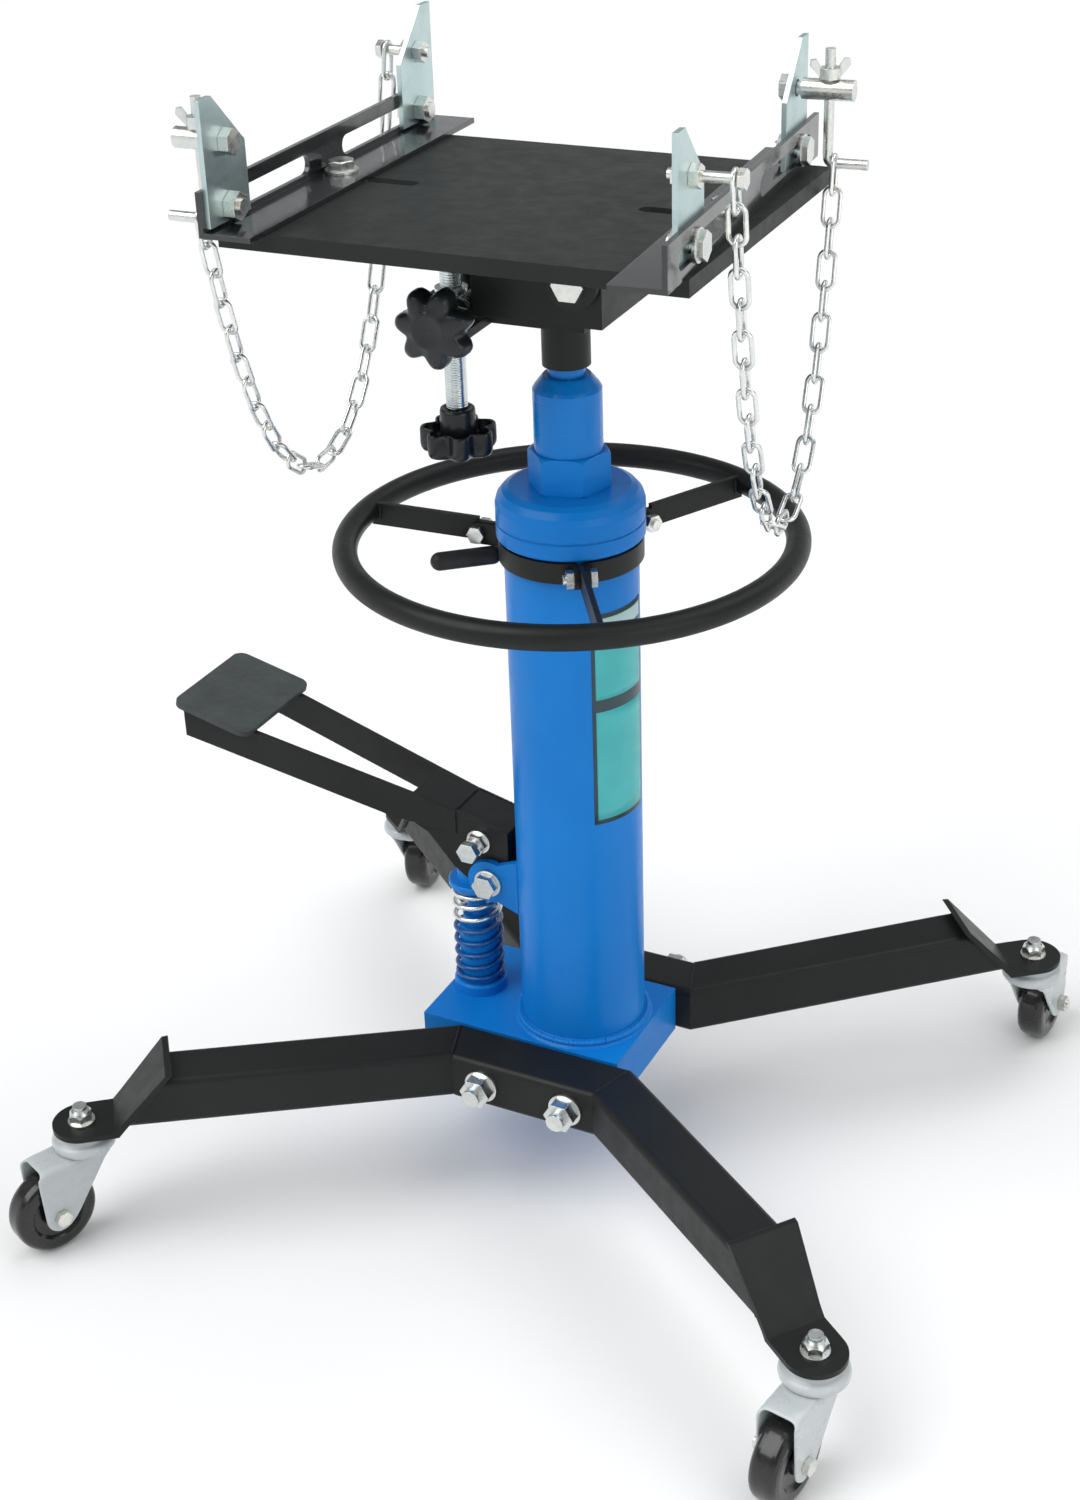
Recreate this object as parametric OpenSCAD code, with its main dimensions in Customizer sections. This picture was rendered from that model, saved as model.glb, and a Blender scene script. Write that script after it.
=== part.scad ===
// Two-stage under-hoist transmission jack with a tilting saddle, in millimetres.
// The floor is z = 0. The hydraulic column stands a little to the right of the chassis centre.

/* [Chassis] */
// Offset of the chassis centre that puts the whole jack's box over the origin
chassis_x = 6.1; // [0:0.1:20]
// Height of the top of the base block and of the middle of the leg frames
block_top = 139; // [130:1:150]
// Height of the leg frame tubes
leg_tall = 44.1; // [40:0.1:50]
// Width of the leg frame tubes
leg_wide = 47.7; // [44:0.1:52]
// Wall of the leg frame tubes
leg_wall = 3.2; // [2:0.1:4]
// Corner radius of the leg frame tubes
leg_round = 6; // [5:0.5:8]
// Distance from the middle line to the inner face of each leg frame
frame_y = 61.8; // [58:0.1:66]
// Half length of the straight middle of a leg frame, on its inner face
bend_x = 82.5; // [78:0.5:88]
// Angle of each leg away from the X axis, in degrees
leg_angle = 37.77; // [36:0.01:40]
// Angle at which the legs rise outward, in degrees
leg_rise = 3.39; // [0:0.01:4]
// Length of a leg along its top inner edge
leg_length = 253; // [240:1:262]
// Distance from the bend to the caster bolt, along the leg
bolt_reach = 333.6; // [325:0.1:340]

/* [Casters] */
// Diameter of the caster wheels
wheel_d = 75; // [70:1:78]
// Width of the caster wheels
wheel_w = 25; // [22:1:27]
// Trail from the swivel bolt to the wheel axle
trail = 39; // [36:1:42]
// Height of the underside of the caster tabs
tab_under = 104.8; // [103:0.1:106]

/* [Column] */
// Offset of the column axis from the chassis centre
column_offset = 7; // [0:1:10]
// Outer radius of the outer cylinder
tube_r = 53.7; // [50:0.1:56]
// Bore radius of the outer cylinder
bore_r = 47.7; // [44:0.1:49]
// Top of the outer cylinder
tube_top = 596; // [590:1:600]
// Radius of the cylinder cap
cap_r = 59.2; // [57:0.1:61]
// Radius of the first ram
ram1_r = 27; // [25:1:28]
// Bore radius of the first ram
ram1_bore = 20; // [18:1:21]
// Radius of the second ram
ram2_r = 14.5; // [13:0.5:16]
// Running clearance of rams and pins, on the radius
fit = 0.06; // [0.03:0.01:0.1]

/* [Hand ring] */
// Radius of the hand ring to the middle of its rod
ring_r = 178.4; // [170:0.1:185]
// Diameter of the ring's rod
ring_d = 20; // [16:1:22]
// Height of the middle of the ring
ring_z = 590.7; // [588:0.1:594]

/* [Pump and pedal] */
// Distance from the chassis centre to the pump axis
pump_x = -95; // [-100:1:-90]
// Distance from the chassis centre to the pedal pivot
pivot_x = -67; // [-70:1:-64]
// Height of the pedal pivot
pivot_z = 268; // [264:1:272]
// Slope angle of the pedal arms, in degrees
arm_slope = 13.6; // [12:0.1:15]

/* [Saddle] */
// Turn of the saddle about the column, in degrees
saddle_turn = 2; // [-5:1:5]
// Height of the top of the saddle plate
plate_top = 860; // [856:1:864]
// Thickness of the saddle plate and its lip
plate_t = 5; // [4:0.5:6]
// Distance from the column axis to the plate's left edge
plate_left = 205; // [200:1:210]
// Distance from the column axis to the plate's right edge
plate_right = 157; // [155:1:170]
// Half depth of the saddle plate
plate_y = 147; // [142:1:150]
// Distance of the side tilt pivot from the column axis
side_pivot_x = 35; // [30:1:40]
// Height of the side tilt pivot
side_pivot_z = 820; // [818:1:822]
// Height of the fore and aft tilt pin
tilt_pin_z = 812; // [810:1:814]
// Distance of the side tilt screw from the column axis
side_screw_x = -95; // [-97:1:-93]
// Distance of the fore and aft screw from the column axis
fore_screw_x = -60; // [-61:1:-59]
// Height of the fore and aft screw
fore_screw_z = 787; // [786:0.5:788]
// Number of lobes on each star knob
knob_lobes = 7; // [5:1:8]
// Radius of both tilt screws
screw_r = 8; // [7:0.5:8]

/* [Saddle irons and chains] */
// Length of a saddle iron
iron_length = 359; // [350:1:365]
// Thickness of the saddle irons and brackets
iron_t = 4; // [3:0.5:5]
// Outer face of the right iron, from the column axis
right_iron_x = 147; // [145:1:150]
// Toe of the right iron, in degrees
right_toe = 3; // [0:1:4]
// Thickness of the chain wire
wire_d = 3.6; // [3:0.1:4]
// Outer length of one chain link
link_length = 32.5; // [30:0.5:34]
// Outer width of one chain link
link_width = 16; // [15:0.5:17]
// Number of links in a chain
link_count = 27; // [27]

/* [Hidden] */
$fn = 64;
blue = [0.10, 0.36, 0.62];
grey = [0.72, 0.73, 0.74];
zinc = [0.80, 0.79, 0.74];
black = [0.06, 0.06, 0.07];
steel = [0.62, 0.63, 0.65];
column_x = chassis_x + column_offset;
leg_mid = leg_wide / 2;
mitre_u = 16.3;
tab_r = 25;
plate_reach = 50.3;
axle_z = wheel_d / 2;
axle_r = 4;
stem_r = 6;
fork_half = wheel_w / 2 + 2;
caster_turns = [246, -100, 100, 86];
pin_r = 7;
frame_bolts = [-38, 42];
lug_y = 22;
lug_t = 6;
band_z = 577;
band_tall = 17;
spoke_t = 4.5;
split_angle = -57;
spoke_angles = [-57, 63, 183];
bolt_radii = [66, 75, 79];
rod_r = 5;
rod_x = -43.6;
rod_y = 42.4;
rod_top = 576;
lever_z = 569;
cap_z = 246;
cradle_y = 60;
nut_half = 9;
slot_bolt_x = 18;
upper_z = 922;
lower_z = 876;
hook_r = 3.9;
left_hook_y = -148;
left_chain_y = 148;
left_chain_x = -17.5;
left_leg_z = 864.5;
left_low = 624;
left_sag = 63.27;
right_hook_y = -132;
right_chain_y = 119;
right_chain_x = -26;
right_leg_z = 868;
right_low = 628;
right_sag = 49.42;
hook_step = 5.5;
hook_bend = 5;
hook_top = 952;

function sinh(v) = (exp(v) - exp(-v)) / 2;
function acosh(v) = ln(v + sqrt(v * v - 1));

// Places -----------------------------------------------------------------

module at_chassis() {
    translate([chassis_x, 0, 0]) children();
}

module at_column() {
    translate([column_x, 0, 0]) children();
}

module at_saddle() {
    at_column() rotate([0, 0, saddle_turn]) children();
}

// An iron's own frame: x = 0 on its outer face, +x toward the middle of the saddle
module at_left_iron() {
    at_saddle() translate([-plate_left, 8.5, 0]) children();
}

module at_right_iron() {
    at_saddle() translate([right_iron_x, -4.5, 0]) rotate([0, 0, 180 + right_toe]) children();
}

// A leg's own frame: x along the leg from the bend's inner corner, y across it
module at_leg() {
    translate([bend_x, frame_y, 0]) rotate([0, 0, leg_angle]) children();
}

module at_four_corners() {
    for (sx = [0, 1], sy = [0, 1])
        mirror([sx, 0, 0]) mirror([0, sy, 0]) children();
}

// A caster's own frame: origin under the swivel bolt, trail along +x
module at_caster(corner) {
    sx = corner % 2 == 0 ? -1 : 1;
    sy = corner < 2 ? -1 : 1;
    reach = bolt_reach * cos(leg_angle) - leg_mid * sin(leg_angle) + bend_x;
    side = bolt_reach * sin(leg_angle) + leg_mid * cos(leg_angle) + frame_y;
    at_chassis() translate([sx * reach, sy * side, 0]) rotate([0, 0, caster_turns[corner]]) children();
}

// Common shapes ------------------------------------------------------------

// Cylinder along the Y axis from y0 to y1
module rod_y(r, y0, y1) {
    translate([0, y1, 0]) rotate([90, 0, 0]) cylinder(r = r, h = y1 - y0);
}

// Cylinder along the X axis from x0 to x1
module rod_x(r, x0, x1) {
    translate([x0, 0, 0]) rotate([0, 90, 0]) cylinder(r = r, h = x1 - x0);
}

// Hexagon with its across-flats size, standing along +z
module hex(across, tall) {
    cylinder(r = across / 2 / cos(30), h = tall, $fn = 6);
}

// Outline in the XZ plane, extruded along Y from y0 to y1
module side_plate(y0, y1) {
    translate([0, y1, 0]) rotate([90, 0, 0]) linear_extrude(y1 - y0) children();
}

// Hexagon head bolt along -z, head on top of z = 0
module bolt_down(r, long, across) {
    difference() {
        hex(across, r * 1.2);
        translate([0, 0, r * 1.2 - 0.8]) difference() {
            cylinder(r = across, h = 2);
            translate([0, 0, -0.1]) cylinder(r1 = across / 2 + 0.6, r2 = across / 2 - 1, h = 1.2);
        }
    }
    translate([0, 0, -long]) cylinder(r = r, h = long);
}

// Plate ring
module washer(r_in, r_out, t) {
    difference() {
        cylinder(r = r_out, h = t);
        translate([0, 0, -1]) cylinder(r = r_in, h = t + 2);
    }
}

// Hexagon nut with a bore, from z = 0 up
module nut(r_in, across, t) {
    difference() {
        hex(across, t);
        translate([0, 0, -1]) cylinder(r = r_in, h = t + 2);
    }
}

// Nut whose top corners are turned down
module domed_nut(r_in, across, t) {
    intersection() {
        nut(r_in, across, t);
        cylinder(r1 = across / 2 + 6, r2 = across / 2 - 1.5, h = t + 0.1);
    }
}

// Star knob outline
module star(r) {
    lobe = r * 0.29;
    circle(r = r * 0.76);
    for (k = [1:knob_lobes])
        rotate(k * 360 / knob_lobes) translate([r - lobe, 0]) circle(r = lobe);
}

// Chassis -------------------------------------------------------------------

module base_block() {
    color(blue) at_chassis() difference() {
        union() {
            translate([-120, -frame_y, block_top - leg_tall + 0.6])
                cube([188, 2 * frame_y, leg_tall - 0.6]);
            translate([column_offset, 0, block_top]) rotate_extrude()
                polygon([[40, -1], [60.5, -1], [60.5, 0], [tube_r + 0.2, 6.5], [tube_r + 0.2, 0], [40, 0]]);
        }
        translate([rod_x, rod_y, block_top - 16]) cylinder(r = rod_r + fit, h = 20);
        for (x = frame_bolts, s = [-1, 1])
            translate([x, 0, 117]) rod_y(8.1, s > 0 ? 39 : -70, s > 0 ? 70 : -39);
    }
}

// Rounded rectangle from the origin
module rounded(wide, tall, r) {
    translate([r, 0]) square([wide - 2 * r, tall]);
    translate([0, r]) square([wide, tall - 2 * r]);
    for (x = [r, wide - r], y = [r, tall - r]) translate([x, y]) circle(r = r);
}

// Bar of the leg tube along +x, its top face at z = 0, made smaller by inset on every side
module leg_bar(start, long, inset) {
    translate([start, 0, 0]) rotate([90, 0, 90]) linear_extrude(long)
        translate([inset, inset - leg_tall])
            rounded(leg_wide - 2 * inset, leg_tall - 2 * inset, leg_round - inset);
}

// Everything on the leg's side of the mitre between the middle and a leg
module past_mitre(shift) {
    near = 2;
    far = 8;
    translate([0, 0, 50]) linear_extrude(150) polygon([
        [bend_x + near * mitre_u - shift, frame_y - near * leg_wide],
        [bend_x - far * mitre_u - shift, frame_y + far * leg_wide],
        [bend_x + 400, frame_y + far * leg_wide],
        [bend_x + 400, frame_y - near * leg_wide]
    ]);
}

// Everything past the slanted face of an end plate
module past_end() {
    side_plate(-20, 80)
        polygon([
            [leg_length, 164], [leg_length + plate_reach, tab_under], [leg_length + plate_reach, 60],
            [leg_length + 300, 60], [leg_length + 300, 200], [leg_length, 200]
        ]);
}

// The straight middle of a leg frame, cut at both mitres
module frame_middle() {
    difference() {
        translate([0, frame_y, block_top]) leg_bar(-140, 280, 0);
        translate([0, frame_y, block_top]) leg_bar(-150, 300, leg_wall);
        for (s = [0, 1]) mirror([s, 0, 0]) past_mitre(0);
        for (x = frame_bolts) translate([x, 0, 117]) rod_y(8.2, 50, 120);
    }
}

// One leg, cut at the mitre and along its end plate
module frame_leg() {
    intersection() {
        at_leg() difference() {
            translate([0, 0, block_top]) rotate([0, -leg_rise, 0]) difference() {
                leg_bar(-60, leg_length + 130, 0);
                leg_bar(-70, leg_length + 150, leg_wall);
            }
            past_end();
        }
        past_mitre(-0.05);
    }
}

module leg_frame() {
    frame_middle();
    for (s = [0, 1]) mirror([s, 0, 0]) frame_leg();
}

module front_leg_frame() {
    color(black) at_chassis() mirror([0, 1, 0]) leg_frame();
}

module rear_leg_frame() {
    color(black) at_chassis() leg_frame();
}

module end_plate() {
    end = bolt_reach + tab_r;
    at_leg() difference() {
        intersection() {
            side_plate(-20, 80)
                polygon([
                    [leg_length, 164], [leg_length + 5.5, 164], [leg_length + plate_reach + 3, tab_under + 5],
                    [end, tab_under + 5], [end, tab_under], [leg_length + plate_reach, tab_under]
                ]);
            translate([0, leg_mid, 90]) linear_extrude(90) union() {
                polygon([
                    [leg_length - 1, -30], [leg_length + 46, tab_r * -1], [bolt_reach, tab_r * -1],
                    [bolt_reach, tab_r], [leg_length + 46, tab_r], [leg_length - 1, 30]
                ]);
                translate([bolt_reach, 0]) circle(r = tab_r);
            }
        }
        translate([bolt_reach, leg_mid, 90]) cylinder(r = stem_r + 0.3, h = 40);
    }
}

module end_plates() {
    color(black) at_chassis() at_four_corners() end_plate();
}

module frame_bolt() {
    rotate([-90, 0, 0]) {
        translate([0, 0, -69.5]) cylinder(r = 8, h = 92);
        translate([0, 0, 0.1]) washer(8, 15, 3);
        translate([0, 0, 3.1]) nut(8, 24, 12);
    }
}

module caster_bolt() {
    translate([0, 0, 80]) cylinder(r = stem_r, h = 46);
    translate([0, 0, 78]) cylinder(r = 10, h = 3.7);
    translate([0, 0, tab_under + 5.1]) washer(stem_r, 11.5, 1.6);
    translate([0, 0, tab_under + 6.7]) domed_nut(stem_r, 18, 10);
}

module chassis_bolts() {
    color(zinc) {
        at_chassis() for (x = frame_bolts, s = [0, 1])
            mirror([0, s, 0]) translate([x, frame_y + leg_wide, 117]) frame_bolt();
        for (corner = [0:3]) at_caster(corner) caster_bolt();
    }
}

// Casters ---------------------------------------------------------------------

// One cheek of the fork, in its own plane
module fork_leg() {
    difference() {
        rotate([90, 0, 0]) linear_extrude(3) union() {
            polygon([
                [-19, 88], [50, 88], [54, 85], [55, 78], [trail + 14, axle_z], [trail - 12, axle_z - 8],
                [trail - 19, axle_z - 1], [-9, 77], [-15, 83]
            ]);
            translate([trail, axle_z]) circle(r = 14);
        }
        translate([trail, 0, axle_z]) rod_y(axle_r + fit, -5, 5);
    }
}

module caster_fork(corner) {
    color(grey) at_caster(corner) difference() {
        union() {
            rotate_extrude() polygon([
                [0, 82], [18, 82], [24, 85], [27, 89], [27.5, 92], [26.5, 95.5], [23, 97.5], [21.5, 98.5],
                [21, 102], [19.5, tab_under - 0.4], [0, tab_under - 0.4]
            ]);
            translate([-19, -fork_half - 3, 84]) cube([69, 2 * fork_half + 6, 4]);
            for (s = [0, 1]) mirror([0, s, 0]) translate([0, -fork_half, 0]) fork_leg();
        }
        translate([0, 0, 70]) cylinder(r = stem_r + fit, h = 50);
        translate([0, 0, 70]) cylinder(r = 11, h = 12.4);
    }
}

module caster_wheel(corner) {
    r = wheel_d / 2;
    w = wheel_w / 2;
    color(black) at_caster(corner) translate([trail, 0, axle_z]) rotate([90, 0, 0]) rotate_extrude()
        polygon([
            [axle_r + fit, -w - 1], [10, -w - 1], [11, -w + 3], [22, -w + 3], [24.5, -w], [r - 7, -w],
            [r - 3.8, -w + 0.8], [r - 1.5, -w + 2.6], [r - 0.4, -w + 4.9], [r, -w + 7.5], [r, w - 7.5],
            [r - 0.4, w - 4.9], [r - 1.5, w - 2.6], [r - 3.8, w - 0.8], [r - 7, w], [24.5, w], [22, w - 3],
            [11, w - 3], [10, w + 1], [axle_r + fit, w + 1]
        ]);
}

module caster_axle(corner) {
    side = fork_half + 3;
    color(zinc) at_caster(corner) translate([trail, 0, axle_z]) {
        rod_y(axle_r, -side - 9, side + 0.1);
        translate([0, side + 0.1, 0]) rotate([-90, 0, 0]) hex(13, 5.5);
        translate([0, -side - 0.1, 0]) rotate([90, 0, 0]) nut(axle_r, 13, 6.5);
    }
}

module front_left_fork() { caster_fork(0); }
module front_right_fork() { caster_fork(1); }
module back_left_fork() { caster_fork(2); }
module back_right_fork() { caster_fork(3); }
module front_left_wheel() { caster_wheel(0); }
module front_right_wheel() { caster_wheel(1); }
module back_left_wheel() { caster_wheel(2); }
module back_right_wheel() { caster_wheel(3); }
module front_left_axle() { caster_axle(0); }
module front_right_axle() { caster_axle(1); }
module back_left_axle() { caster_axle(2); }
module back_right_axle() { caster_axle(3); }

// Column ------------------------------------------------------------------------

module pedal_lug() {
    difference() {
        side_plate(lug_y, lug_y + lug_t) union() {
            translate([pivot_x, pivot_z]) circle(r = 20);
            polygon([
                [pivot_x + 8, pivot_z + 18.3], [-36, pivot_z + 27], [-36, pivot_z - 27],
                [pivot_x + 8, pivot_z - 18.3]
            ]);
        }
        translate([pivot_x, 0, pivot_z]) rod_y(pin_r + 0.02, 10, 40);
    }
}

module outer_cylinder() {
    color(blue) difference() {
        union() {
            at_column() translate([0, 0, block_top]) cylinder(r = tube_r, h = tube_top - block_top, $fn = 128);
            at_chassis() for (s = [0, 1]) mirror([0, s, 0]) pedal_lug();
            at_chassis() translate([rod_x, rod_y, 470]) rotate([0, 0, 140 - 180])
                translate([-9, -8, 0]) cube([26, 16, 12]);
        }
        at_column() translate([0, 0, block_top - 1]) cylinder(r = bore_r, h = 500, $fn = 128);
        at_chassis() translate([rod_x, rod_y, 460]) cylinder(r = rod_r + fit, h = 40);
    }
}

module cylinder_cap() {
    color(blue) at_column() rotate_extrude($fn = 128) polygon([
        [ram1_r + fit, tube_top], [cap_r - 1.5, tube_top], [cap_r, tube_top + 1.5],
        [cap_r, tube_top + 13], [cap_r - 1, tube_top + 13.5], [cap_r - 1, tube_top + 14.5],
        [cap_r, tube_top + 15], [cap_r, 624], [57.6, 629.5], [53.5, 634.5], [48, 637], [ram1_r + fit, 637]
    ]);
}

module gland_nut() {
    color(blue) at_column() difference() {
        intersection() {
            translate([0, 0, 637]) rotate([0, 0, 15]) hex(57, 30);
            rotate_extrude() polygon([
                [0, 637], [31, 637], [33, 638.2], [33, 664], [30.5, 666.4], [28.5, 667], [0, 667]
            ]);
        }
        translate([0, 0, 630]) cylinder(r = ram1_r + fit, h = 50);
    }
}

module first_ram() {
    color(blue) at_column() rotate_extrude($fn = 96) polygon([
        [ram1_bore, 175], [ram1_r, 175], [ram1_r, 716], [25.5, 718.5], [20, 725.5], [18.5, 727],
        [ram2_r + fit, 727], [ram2_r + fit, 712], [ram1_bore, 712]
    ]);
}

module first_piston() {
    color(steel) at_column() rotate_extrude($fn = 96) polygon([
        [0, 145], [46, 145], [bore_r - 0.1, 147], [bore_r - 0.1, 155], [45, 155], [45, 160],
        [bore_r - 0.1, 160], [bore_r - 0.1, 173], [46, 175], [0, 175]
    ]);
}

module second_ram() {
    color(steel) at_column() rotate_extrude($fn = 96) polygon([
        [0, 205], [ram2_r, 205], [ram2_r, 758.5], [ram2_r - 1.5, 760], [0, 760]
    ]);
}

module second_piston() {
    r = ram1_bore - 0.1;
    color(steel) at_column() rotate_extrude() polygon([
        [0, 180], [r - 1, 180], [r, 181], [r, 188], [r - 2, 188], [r - 2, 192], [r, 192],
        [r, 204], [r - 1, 205], [0, 205]
    ]);
}

// Hand ring -----------------------------------------------------------------------

// Flat tab on one side of a spoke's place, with its bolt hole
module clamp_tab(angle, side, bolt_at) {
    rotate([0, 0, angle]) difference() {
        union() {
            translate([tube_r + 1, side > 0 ? spoke_t / 2 + 0.1 : -spoke_t / 2 - 4.1, band_z])
                cube([bolt_at - tube_r - 1, 4, band_tall]);
            translate([bolt_at, side > 0 ? spoke_t / 2 + 0.1 : -spoke_t / 2 - 4.1, band_z + band_tall / 2])
                rotate([-90, 0, 0]) cylinder(r = band_tall / 2, h = 4);
        }
        translate([bolt_at, 0, band_z + band_tall / 2]) rod_y(4.1, -10, 10);
    }
}

// Half of the clamp band, from the split angle through 180 degrees
module clamp_half(start) {
    gap = 2.6;
    translate([0, 0, band_z]) difference() {
        cylinder(r = tube_r + 4.1, h = band_tall, $fn = 128);
        translate([0, 0, -1]) cylinder(r = tube_r + 0.05, h = band_tall + 2, $fn = 128);
        rotate([0, 0, start]) translate([-100, -200 + gap, -1]) cube([200, 200, band_tall + 2]);
    }
}

module left_clamp_band() {
    color(black) at_column() {
        clamp_half(split_angle + 180);
        clamp_tab(split_angle, -1, bolt_radii[0]);
        clamp_tab(split_angle + 180, 1, 70);
        clamp_tab(spoke_angles[2], 1, bolt_radii[2]);
    }
}

module right_clamp_band() {
    color(black) at_column() {
        clamp_half(split_angle);
        clamp_tab(split_angle, 1, bolt_radii[0]);
        clamp_tab(split_angle + 180, -1, 70);
        clamp_tab(spoke_angles[1], 1, bolt_radii[1]);
    }
}

module hand_ring() {
    color(black) at_column() difference() {
        union() {
            translate([0, 0, ring_z]) rotate_extrude($fn = 160) translate([ring_r, 0])
                circle(d = ring_d, $fn = 40);
            for (i = [0:2]) rotate([0, 0, spoke_angles[i]]) {
                translate([60, -spoke_t / 2, ring_z - 12]) cube([20, spoke_t, 16]);
                translate([80, -spoke_t / 2, ring_z - 12]) cube([ring_r - 83, spoke_t, 19]);
            }
        }
        for (i = [0:2]) rotate([0, 0, spoke_angles[i]])
            translate([bolt_radii[i], 0, band_z + band_tall / 2]) rod_y(4.1, -10, 10);
    }
}

module clamp_bolt(angle, at) {
    rotate([0, 0, angle]) translate([at, 0, band_z + band_tall / 2]) {
        rod_y(4, -15, 6.5);
        translate([0, 6.5, 0]) rotate([-90, 0, 0]) hex(13, 5);
        translate([0, -6.5, 0]) rotate([90, 0, 0]) nut(4, 13, 6);
    }
}

module clamp_bolts() {
    color(zinc) at_column() {
        for (i = [0:2]) clamp_bolt(spoke_angles[i], bolt_radii[i]);
        clamp_bolt(split_angle + 180, 70);
    }
}

// Release valve -----------------------------------------------------------------------

module release_rod() {
    color(zinc) at_chassis() translate([rod_x, rod_y, 0]) {
        translate([0, 0, block_top - 14]) cylinder(r = rod_r, h = rod_top - block_top + 14);
        translate([0, 0, block_top + 8]) hex(17, 10);
    }
}

module release_lever() {
    reach = 43;
    color(black) at_chassis() {
        translate([rod_x, rod_y, 560]) washer(rod_r + 0.01, 9, 15.5);
        difference() {
            translate([0, 0, lever_z - 4]) linear_extrude(8) polygon([
                [rod_x + 4, rod_y - 7], [-53, -9], [-58, -14], [-65, -10], [-63, -4], [rod_x - 6.5, rod_y - 4]
            ]);
            translate([rod_x, rod_y, 550]) cylinder(r = 8.5, h = 40);
        }
        translate([-59, -10, lever_z]) rotate([0, 0, 219.8]) {
            rotate([0, 90, 0]) cylinder(r = 7.5, h = reach);
            sphere(r = 7.5);
            translate([reach, 0, 0]) sphere(r = 7.5);
        }
    }
}

// Pump and pedal -----------------------------------------------------------------------

module pump_cylinder() {
    color(blue) at_chassis() translate([pump_x, 0, 0]) rotate_extrude() polygon([
        [0, block_top], [23.5, block_top], [23.5, 147.5], [22, 149.5], [17.3, 149.5], [17.3, 203],
        [16, 205], [13, 205], [13, 215], [9 + fit, 215], [9 + fit, 145], [0, 145]
    ]);
}

module pump_piston() {
    color(blue) at_chassis() translate([pump_x, 0, 0]) rotate_extrude() polygon([
        [0, 162], [8, 162], [9, 163], [9, cap_z], [23, cap_z], [24, cap_z + 1], [24, cap_z + 5],
        [23, cap_z + 6], [16.5, cap_z + 6], [16.5, 261], [15, 264.6], [11, 267], [6, 268], [0, 268]
    ]);
}

// Ring of points around a spring's wire at a fraction of its length
function coil_ring(f, turns, r, wire, z0, z1, sides) =
    let (a = 360 * turns * f, z = z0 + (z1 - z0) * f)
    [for (i = [0:sides - 1])
        let (b = 360 * i / sides, q = r + wire * cos(b))
        [q * cos(a), q * sin(a), z + wire * sin(b)]];

module coil(turns, r, wire, z0, z1, steps, sides) {
    count = turns * steps;
    points = [for (k = [0:count]) each coil_ring(k / count, turns, r, wire, z0, z1, sides)];
    walls = [for (k = [0:count - 1], i = [0:sides - 1])
        [k * sides + i, (k + 1) * sides + i, (k + 1) * sides + (i + 1) % sides, k * sides + (i + 1) % sides]];
    first = [for (i = [0:sides - 1]) i];
    last = [for (i = [sides - 1:-1:0]) count * sides + i];
    polyhedron(points, concat([first], walls, [last]), convexity = 10);
}

module pump_spring() {
    wire = 2.2;
    color(zinc) at_chassis() translate([pump_x, 0, 0])
        coil(7, 20, wire, 149.8 + wire, cap_z - 0.3 - wire, 20, 8);
}

module pedal_side() {
    side_plate(17.5, 21.5) union() {
        translate([pivot_x, pivot_z]) circle(r = 16.5);
        polygon([
            [-50.5, 315], [-50.5, 276], [pivot_x, pivot_z - 10], [-86, 259], [-104, 272],
            [-127, 300], [-140, 306], [-140, 337.5], [-100, 327.5], [-54, 316]
        ]);
    }
}

module pedal_arm() {
    slope = tan(arm_slope);
    translate([-100, 17.6, 328]) rotate([0, 0, -5.4]) side_plate(0, 5) polygon([
        [0, 0], [-256, 256 * slope], [-256, 256 * slope - 30], [-60, 60 * slope - 30], [0, -22]
    ]);
}

module pedal_lever() {
    color(black) at_chassis() difference() {
        union() {
            for (s = [0, 1]) mirror([0, s, 0]) {
                pedal_side();
                pedal_arm();
            }
            side_plate(-21.5, 21.5) polygon([
                [-50.5, 316], [-54, 317], [-100, 328.4], [-140, 338], [-140, 334], [-100, 324.4], [-54, 313],
                [-54, 288], [-50.5, 288]
            ]);
            translate([pump_x, 0, 276.4]) rod_y(8, -18, 18);
        }
        translate([pivot_x, 0, pivot_z]) rod_y(pin_r + fit, -30, 30);
        translate([-78, 0, 303]) rod_y(6.1, -30, 30);
    }
}

module pedal_pad() {
    color(black) at_chassis() translate([-324, 0, 382.59]) rotate([0, arm_slope, 0]) {
        linear_extrude(4.5) union() {
            square([77, 88], center = true);
            square([57, 108], center = true);
            for (x = [-28.5, 28.5], y = [-44, 44]) translate([x, y]) circle(r = 10);
        }
    }
}

module pedal_pin() {
    color(zinc) at_chassis() translate([pivot_x, 0, pivot_z]) {
        rod_y(pin_r, -31, 38);
        translate([0, -31, 0]) rotate([90, 0, 0]) hex(19, 8.5);
        translate([0, -28.2, 0]) rotate([90, 0, 0]) washer(pin_r, 12.5, 2.6);
        translate([0, 28.2, 0]) rotate([-90, 0, 0]) washer(pin_r, 12.5, 2);
        translate([0, 30.2, 0]) rotate([-90, 0, 0]) nut(pin_r, 19, 6);
    }
}

module pedal_bolt() {
    color(zinc) at_chassis() translate([-78, 0, 303]) {
        rod_y(6, -40, 29);
        translate([0, -38, 0]) rotate([90, 0, 0]) hex(17, 7);
        translate([0, -21.6, 0]) rotate([90, 0, 0]) washer(6, 11, 2);
        translate([0, -23.6, 0]) rotate([90, 0, 0]) nut(6, 17, 7);
        translate([0, 21.6, 0]) rotate([-90, 0, 0]) nut(6, 17, 6);
    }
}

// Saddle tilt mechanism --------------------------------------------------------------

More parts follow.
